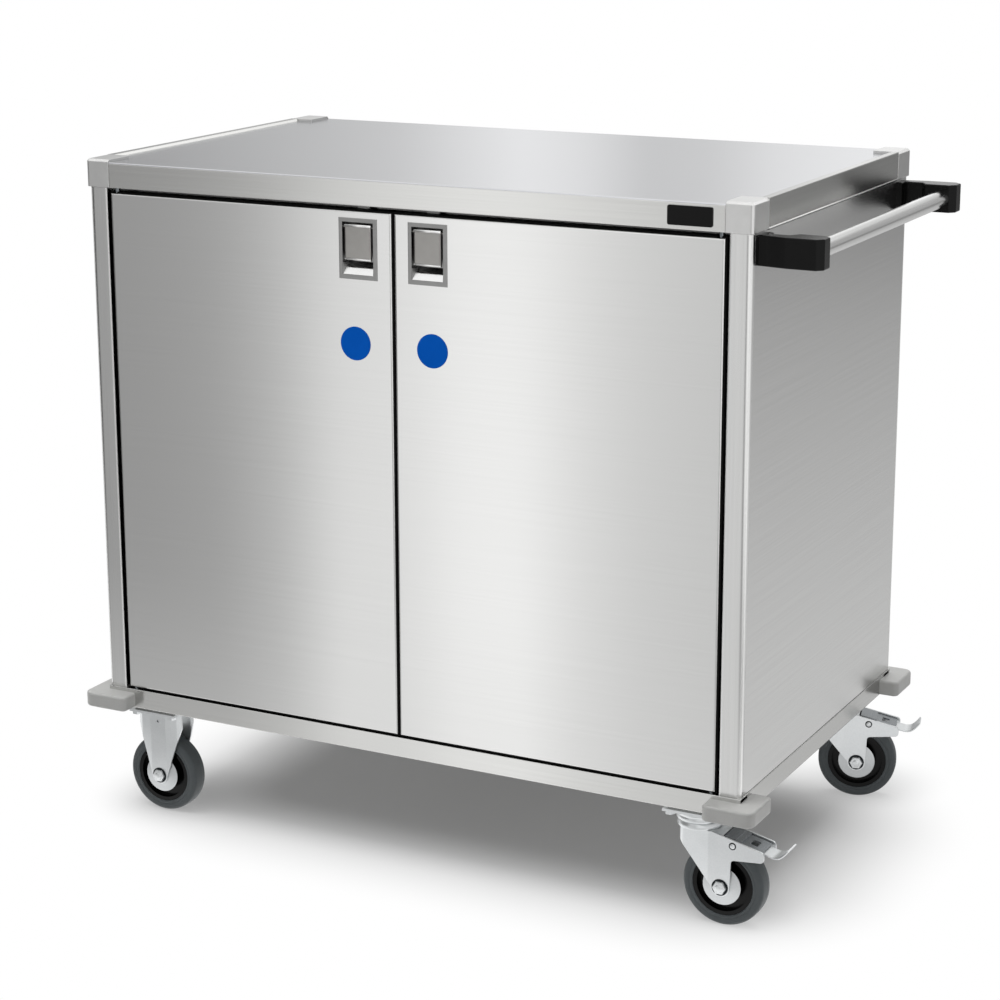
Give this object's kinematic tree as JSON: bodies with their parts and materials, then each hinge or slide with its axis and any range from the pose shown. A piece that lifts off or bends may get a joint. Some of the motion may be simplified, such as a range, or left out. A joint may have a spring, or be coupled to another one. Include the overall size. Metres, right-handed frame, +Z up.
{
  "type": "sterile supply cart",
  "caption": "Closed stainless steel cabinet cart with hinged doors, paddle latches, a push handle at one end, corner bumpers, two braked swivel casters and two rigid ones.",
  "frame": {"origin": "on the floor under the middle of the whole cart, bumpers and push handle included", "axes": "+X towards the push handle, along the cart's length; the doors face -Y; +Z up"},
  "size_m": [1.198, 0.701, 1.049],
  "materials": {
    "brushed_stainless": "brushed stainless sheet",
    "satin_steel": "satin stamped stainless",
    "cap_metal": "satin cast caps",
    "bumper_plastic": "light grey moulded plastic with soft edges",
    "black_plastic": "black moulded plastic, half gloss",
    "seal_rubber": "black door seal",
    "blue_film": "blue adhesive film",
    "badge_black": "plain black plate",
    "polished_tube": "polished stainless tube",
    "tyre_rubber": "dark grey elastic rubber",
    "core_plastic": "black moulded wheel centre",
    "zinc_steel": "zinc plated pressed steel",
    "pedal_steel": "dark plated pressed steel",
    "paddle_steel": "grey lacquered stamped steel",
    "bush_plastic": "black acetal bushes"
  },
  "bodies": {
    "cabinet": {"back_panel": "brushed_stainless", "badge_plate": "badge_black", "base_long_rails": "brushed_stainless", "base_short_rails": "brushed_stainless", "caster_bolts": "zinc_steel", "caster_plates": "zinc_steel", "caster_seats": "brushed_stainless", "corner_bumpers": "bumper_plastic", "corner_posts": "brushed_stainless", "door_stop_strips": "brushed_stainless", "fascia_rails": "brushed_stainless", "floor_panel": "brushed_stainless", "front_handle_bracket": "black_plastic", "front_left_axle_set": "zinc_steel", "front_left_fork": "zinc_steel", "handle_bolts": "brushed_stainless", "handle_tube": "polished_tube", "hinge_pins": "brushed_stainless", "latch_keepers": "brushed_stainless", "left_side_panel": "brushed_stainless", "rear_handle_bracket": "black_plastic", "rear_left_axle_set": "zinc_steel", "rear_left_fork": "zinc_steel", "right_side_panel": "brushed_stainless", "shelf": "brushed_stainless", "shelf_brackets": "brushed_stainless", "side_rims": "brushed_stainless", "top_corner_caps": "cap_metal", "worktop": "brushed_stainless"},
    "left_door": {"left_door_skin": "brushed_stainless", "left_door_liner": "brushed_stainless", "left_door_seal": "seal_rubber", "left_colour_dot": "blue_film", "left_latch_tray": "satin_steel", "left_hinge_bushes": "bush_plastic"},
    "left_paddle": {"left_latch_paddle": "paddle_steel"},
    "left_bolt": {"left_latch_bolt": "brushed_stainless"},
    "right_door": {"right_door_skin": "brushed_stainless", "right_door_liner": "brushed_stainless", "right_door_seal": "seal_rubber", "right_colour_dot": "blue_film", "right_latch_tray": "satin_steel", "right_hinge_bushes": "bush_plastic"},
    "right_paddle": {"right_latch_paddle": "paddle_steel"},
    "right_bolt": {"right_latch_bolt": "brushed_stainless"},
    "front_left_wheel": {"front_left_wheel_core": "core_plastic", "front_left_tyre": "tyre_rubber"},
    "front_right_wheel": {"front_right_wheel_core": "core_plastic", "front_right_tyre": "tyre_rubber"},
    "front_right_caster": {"front_right_fork": "zinc_steel", "front_right_axle_set": "zinc_steel"},
    "front_right_pedal": {"front_right_brake_pedal": "pedal_steel"},
    "rear_left_wheel": {"rear_left_wheel_core": "core_plastic", "rear_left_tyre": "tyre_rubber"},
    "rear_right_wheel": {"rear_right_wheel_core": "core_plastic", "rear_right_tyre": "tyre_rubber"},
    "rear_right_caster": {"rear_right_fork": "zinc_steel", "rear_right_axle_set": "zinc_steel"},
    "rear_right_pedal": {"rear_right_brake_pedal": "pedal_steel"}
  },
  "joints": [
    {"name": "left_door_hinge", "type": "hinge", "parent": "cabinet", "child": "left_door", "pos_m": [-0.522, -0.3125, 0.605], "axis": [0, 0, -1], "range_deg": [0, 110]},
    {"name": "left_paddle_pivot", "type": "hinge", "parent": "left_door", "child": "left_paddle", "pos_m": [-0.098, -0.317, 0.97525], "axis": [-1, 0, 0], "range_deg": [0, 35], "stiffness_Nm_per_rad": 0.2, "springref_deg": -20.05},
    {"name": "left_bolt_slide", "type": "slide", "parent": "left_door", "child": "left_bolt", "axis": [0, 0, -1], "range_m": [0, 0.009]},
    {"name": "right_door_hinge", "type": "hinge", "parent": "cabinet", "child": "right_door", "pos_m": [0.46, -0.3125, 0.605], "axis": [0, 0, 1], "range_deg": [0, 110]},
    {"name": "right_paddle_pivot", "type": "hinge", "parent": "right_door", "child": "right_paddle", "pos_m": [0.016, -0.317, 0.97525], "axis": [-1, 0, 0], "range_deg": [0, 35], "stiffness_Nm_per_rad": 0.2, "springref_deg": -20.05},
    {"name": "right_bolt_slide", "type": "slide", "parent": "right_door", "child": "right_bolt", "axis": [0, 0, -1], "range_m": [0, 0.009]},
    {"name": "front_left_roll", "type": "hinge", "parent": "cabinet", "child": "front_left_wheel", "pos_m": [-0.493, -0.2755, 0.0625], "axis": [0, 1, 0], "continuous": true},
    {"name": "front_right_swivel", "type": "hinge", "parent": "cabinet", "child": "front_right_caster", "pos_m": [0.429, -0.2755, 0.1552], "axis": [0, 0, 1], "continuous": true},
    {"name": "front_right_roll", "type": "hinge", "parent": "front_right_caster", "child": "front_right_wheel", "pos_m": [0.471, -0.2755, 0.0625], "axis": [0, 1, 0], "continuous": true},
    {"name": "front_right_brake", "type": "hinge", "parent": "front_right_caster", "child": "front_right_pedal", "pos_m": [0.489, -0.2755, 0.1285], "axis": [0, 1, 0], "range_deg": [0, 12]},
    {"name": "rear_left_roll", "type": "hinge", "parent": "cabinet", "child": "rear_left_wheel", "pos_m": [-0.493, 0.2755, 0.0625], "axis": [0, 1, 0], "continuous": true},
    {"name": "rear_right_swivel", "type": "hinge", "parent": "cabinet", "child": "rear_right_caster", "pos_m": [0.429, 0.2755, 0.1552], "axis": [0, 0, 1], "continuous": true},
    {"name": "rear_right_roll", "type": "hinge", "parent": "rear_right_caster", "child": "rear_right_wheel", "pos_m": [0.46957, 0.28637, 0.0625], "axis": [-0.2588, 0.9659, 0], "continuous": true},
    {"name": "rear_right_brake", "type": "hinge", "parent": "rear_right_caster", "child": "rear_right_pedal", "pos_m": [0.48696, 0.29103, 0.1285], "axis": [-0.2588, 0.9659, 0], "range_deg": [0, 12]}
  ],
  "couplings": [
    {"joint": "left_bolt_slide", "follows": "left_paddle_pivot", "m_per_rad": 0.01455},
    {"joint": "right_bolt_slide", "follows": "right_paddle_pivot", "m_per_rad": 0.01455}
  ]
}
